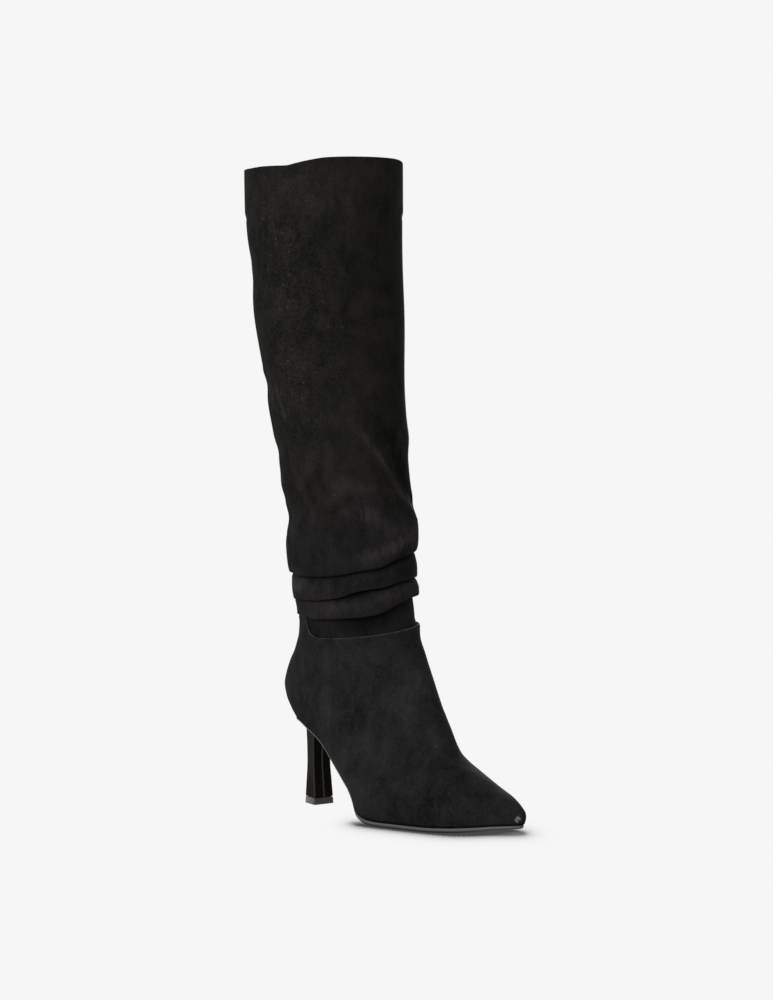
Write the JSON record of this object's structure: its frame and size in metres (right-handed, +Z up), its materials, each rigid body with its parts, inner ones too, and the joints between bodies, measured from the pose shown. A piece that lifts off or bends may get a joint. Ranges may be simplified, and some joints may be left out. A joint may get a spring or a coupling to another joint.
{
  "type": "boot",
  "caption": "Knee-high slouch boot for the right foot, with a pointed toe, a slim heel, soft rolls at the ankle and a zip on the inner side.",
  "frame": {"origin": "on the top lift's underside, 2 mm ahead of its middle, on the floor", "axes": "+Z up the leg, +Y towards the toe, +X towards the outer side of the foot"},
  "size_m": [0.1167, 0.2701, 0.474],
  "materials": {
    "suede": "matt napped suede",
    "heel": "high gloss black",
    "lift": "matt grey",
    "sole": "matt grey edge",
    "insole": "smooth lining leather",
    "zip": "black nylon",
    "zip_metal": "black plated"
  },
  "bodies": {
    "boot": {"outsole": "sole", "heel": "heel", "top_lift": "lift", "insole": "insole", "upper": "suede", "shaft": "suede", "zip_chain": "zip", "zip_slider": "zip_metal"},
    "pull": {"zip_pull": "zip_metal"}
  },
  "joints": [
    {"name": "pull_hinge", "type": "hinge", "parent": "boot", "child": "pull", "pos_m": [-0.0515, 0.01509, 0.32799], "axis": [-0.1079, 0.9942, 0], "range_deg": [-8, 165]}
  ]
}
